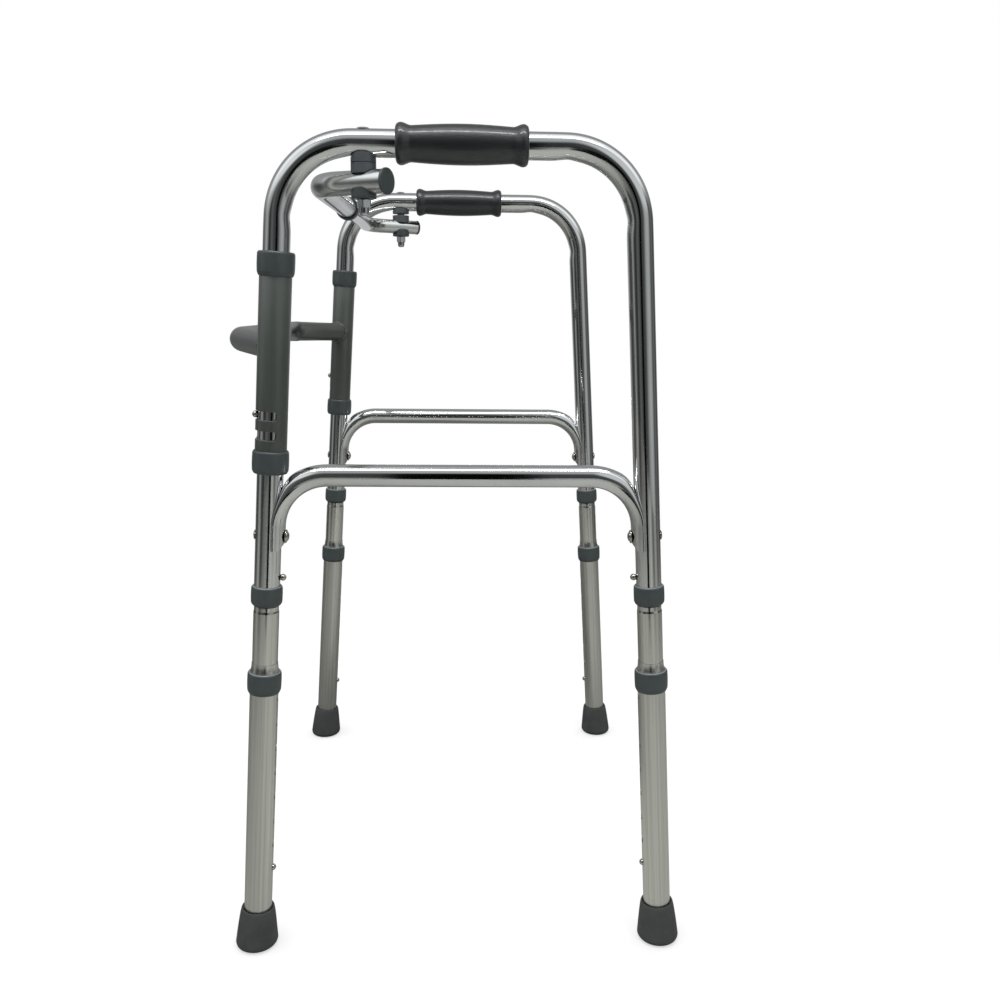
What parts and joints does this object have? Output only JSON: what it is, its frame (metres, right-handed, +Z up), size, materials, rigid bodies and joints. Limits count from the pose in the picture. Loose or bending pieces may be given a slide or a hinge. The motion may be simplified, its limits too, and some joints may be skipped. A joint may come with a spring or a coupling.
{
  "type": "folding walker",
  "caption": "Folding walking frame: two bent-tube side frames with hand grips, joined by a front brace and a telescoping bar, on four height-adjustable legs with rubber tips.",
  "frame": {"origin": "middle of the four rubber tips on the floor", "axes": "+Z up, -Y towards the closed front with the brace, +Y towards the user, +X towards the user's left side frame"},
  "size_m": [0.5757, 0.4807, 0.836],
  "materials": {
    "polished_tube": "polished bright",
    "satin_tube": "satin",
    "painted_brace": "dark grey-green paint, semi-matt",
    "dark_plastic": "moulded, matt",
    "grip_vinyl": "moulded vinyl, fine grain",
    "tip_rubber": "matt rubber",
    "zinc_steel": "zinc plated"
  },
  "bodies": {
    "front_brace": {"front_brace": "painted_brace", "sleeve_collar_top_left": "dark_plastic", "sleeve_collar_bottom_left": "dark_plastic", "sleeve_collar_top_right": "dark_plastic", "sleeve_collar_bottom_right": "dark_plastic"},
    "side_frame_left": {"side_frame_tube_left": "polished_tube", "arch_tube_left": "polished_tube", "hand_grip_left": "grip_vinyl", "pivot_saddle_upper_left": "dark_plastic", "pivot_bolt_left": "zinc_steel", "pivot_nut_left": "zinc_steel", "arch_rivet_front_left": "zinc_steel", "leg_inner_tube_front_left": "satin_tube", "upright_collar_front_left": "dark_plastic", "arch_rivet_rear_left": "zinc_steel", "leg_inner_tube_rear_left": "satin_tube", "upright_collar_rear_left": "dark_plastic"},
    "side_frame_right": {"side_frame_tube_right": "polished_tube", "arch_tube_right": "polished_tube", "hand_grip_right": "grip_vinyl", "pivot_saddle_upper_right": "dark_plastic", "pivot_bolt_right": "zinc_steel", "pivot_nut_right": "zinc_steel", "arch_rivet_front_right": "zinc_steel", "leg_inner_tube_front_right": "satin_tube", "upright_collar_front_right": "dark_plastic", "arch_rivet_rear_right": "zinc_steel", "leg_inner_tube_rear_right": "satin_tube", "upright_collar_rear_right": "dark_plastic"},
    "crossbar_outer": {"crossbar_outer_tube": "polished_tube", "crossbar_ring": "dark_plastic", "crossbar_end_cap_left": "dark_plastic", "pivot_saddle_lower_left": "dark_plastic", "pivot_washer_left": "dark_plastic"},
    "crossbar_inner": {"crossbar_inner_tube": "polished_tube", "crossbar_end_cap_right": "dark_plastic", "pivot_saddle_lower_right": "dark_plastic", "pivot_washer_right": "dark_plastic"},
    "lower_leg_front_left": {"leg_lower_tube_front_left": "satin_tube", "leg_collar_front_left": "dark_plastic", "rubber_tip_front_left": "tip_rubber"},
    "lower_leg_front_right": {"leg_lower_tube_front_right": "satin_tube", "leg_collar_front_right": "dark_plastic", "rubber_tip_front_right": "tip_rubber"},
    "lower_leg_rear_left": {"leg_lower_tube_rear_left": "satin_tube", "leg_collar_rear_left": "dark_plastic", "rubber_tip_rear_left": "tip_rubber"},
    "lower_leg_rear_right": {"leg_lower_tube_rear_right": "satin_tube", "leg_collar_rear_right": "dark_plastic", "rubber_tip_rear_right": "tip_rubber"},
    "leg_lock_button_front_left": {"leg_lock_button_front_left": "zinc_steel"},
    "height_button_front_left": {"height_button_front_left": "zinc_steel"},
    "leg_lock_button_front_right": {"leg_lock_button_front_right": "zinc_steel"},
    "height_button_front_right": {"height_button_front_right": "zinc_steel"},
    "leg_lock_button_rear_left": {"leg_lock_button_rear_left": "zinc_steel"},
    "height_button_rear_left": {"height_button_rear_left": "zinc_steel"},
    "leg_lock_button_rear_right": {"leg_lock_button_rear_right": "zinc_steel"},
    "height_button_rear_right": {"height_button_rear_right": "zinc_steel"},
    "fold_lock_button_left": {"fold_lock_button_left": "zinc_steel"},
    "fold_lock_button_right": {"fold_lock_button_right": "zinc_steel"}
  },
  "joints": [
    {"name": "fold_left", "type": "hinge", "parent": "front_brace", "child": "side_frame_left", "pos_m": [0.265, -0.2162, 0], "axis": [0, 0.0624, 0.9981], "range_deg": [0, 31]},
    {"name": "fold_right", "type": "hinge", "parent": "front_brace", "child": "side_frame_right", "pos_m": [-0.265, -0.2162, 0], "axis": [0, 0.0624, 0.9981], "range_deg": [-31, 0]},
    {"name": "bar_pivot_left", "type": "hinge", "parent": "side_frame_left", "child": "crossbar_outer", "pos_m": [0.265, -0.089, 0.7834], "axis": [0, 0.0624, 0.9981], "range_deg": [-31, 0]},
    {"name": "bar_pivot_right", "type": "hinge", "parent": "side_frame_right", "child": "crossbar_inner", "pos_m": [-0.265, -0.089, 0.7834], "axis": [0, 0.0624, 0.9981], "range_deg": [0, 31]},
    {"name": "leg_height_front_left", "type": "slide", "parent": "side_frame_left", "child": "lower_leg_front_left", "axis": [0, -0.0624, -0.9981], "range_m": [0, 0.189], "deforming": ["height_button_front_left"]},
    {"name": "leg_height_front_right", "type": "slide", "parent": "side_frame_right", "child": "lower_leg_front_right", "axis": [0, -0.0624, -0.9981], "range_m": [0, 0.189], "deforming": ["height_button_front_right"]},
    {"name": "leg_height_rear_left", "type": "slide", "parent": "side_frame_left", "child": "lower_leg_rear_left", "axis": [0, 0.0624, -0.9981], "range_m": [0, 0.189], "deforming": ["height_button_rear_left"]},
    {"name": "leg_height_rear_right", "type": "slide", "parent": "side_frame_right", "child": "lower_leg_rear_right", "axis": [0, 0.0624, -0.9981], "range_m": [0, 0.189], "deforming": ["height_button_rear_right"]},
    {"name": "leg_lock_press_front_left", "type": "slide", "parent": "side_frame_left", "child": "leg_lock_button_front_left", "axis": [0, -0.9981, 0.0624], "range_m": [0, 0.005], "stiffness_N_per_m": 800},
    {"name": "height_press_front_left", "type": "slide", "parent": "side_frame_left", "child": "height_button_front_left", "axis": [0, -0.9981, 0.0624], "range_m": [0, 0.005], "stiffness_N_per_m": 800},
    {"name": "leg_lock_press_front_right", "type": "slide", "parent": "side_frame_right", "child": "leg_lock_button_front_right", "axis": [0, -0.9981, 0.0624], "range_m": [0, 0.005], "stiffness_N_per_m": 800},
    {"name": "height_press_front_right", "type": "slide", "parent": "side_frame_right", "child": "height_button_front_right", "axis": [0, -0.9981, 0.0624], "range_m": [0, 0.005], "stiffness_N_per_m": 800},
    {"name": "leg_lock_press_rear_left", "type": "slide", "parent": "side_frame_left", "child": "leg_lock_button_rear_left", "axis": [0, 0.9981, 0.0624], "range_m": [0, 0.005], "stiffness_N_per_m": 800},
    {"name": "height_press_rear_left", "type": "slide", "parent": "side_frame_left", "child": "height_button_rear_left", "axis": [0, 0.9981, 0.0624], "range_m": [0, 0.005], "stiffness_N_per_m": 800},
    {"name": "leg_lock_press_rear_right", "type": "slide", "parent": "side_frame_right", "child": "leg_lock_button_rear_right", "axis": [0, 0.9981, 0.0624], "range_m": [0, 0.005], "stiffness_N_per_m": 800},
    {"name": "height_press_rear_right", "type": "slide", "parent": "side_frame_right", "child": "height_button_rear_right", "axis": [0, 0.9981, 0.0624], "range_m": [0, 0.005], "stiffness_N_per_m": 800},
    {"name": "fold_lock_press_left", "type": "slide", "parent": "side_frame_left", "child": "fold_lock_button_left", "axis": [0, 0.9981, -0.0624], "range_m": [0, 0.005], "stiffness_N_per_m": 800},
    {"name": "fold_lock_press_right", "type": "slide", "parent": "side_frame_right", "child": "fold_lock_button_right", "axis": [0, 0.9981, -0.0624], "range_m": [0, 0.005], "stiffness_N_per_m": 800}
  ],
  "couplings": [
    {"joint": "fold_right", "follows": "fold_left", "ratio": -1},
    {"joint": "bar_pivot_left", "follows": "fold_left", "ratio": -1},
    {"joint": "bar_pivot_right", "follows": "fold_left", "ratio": 1}
  ]
}
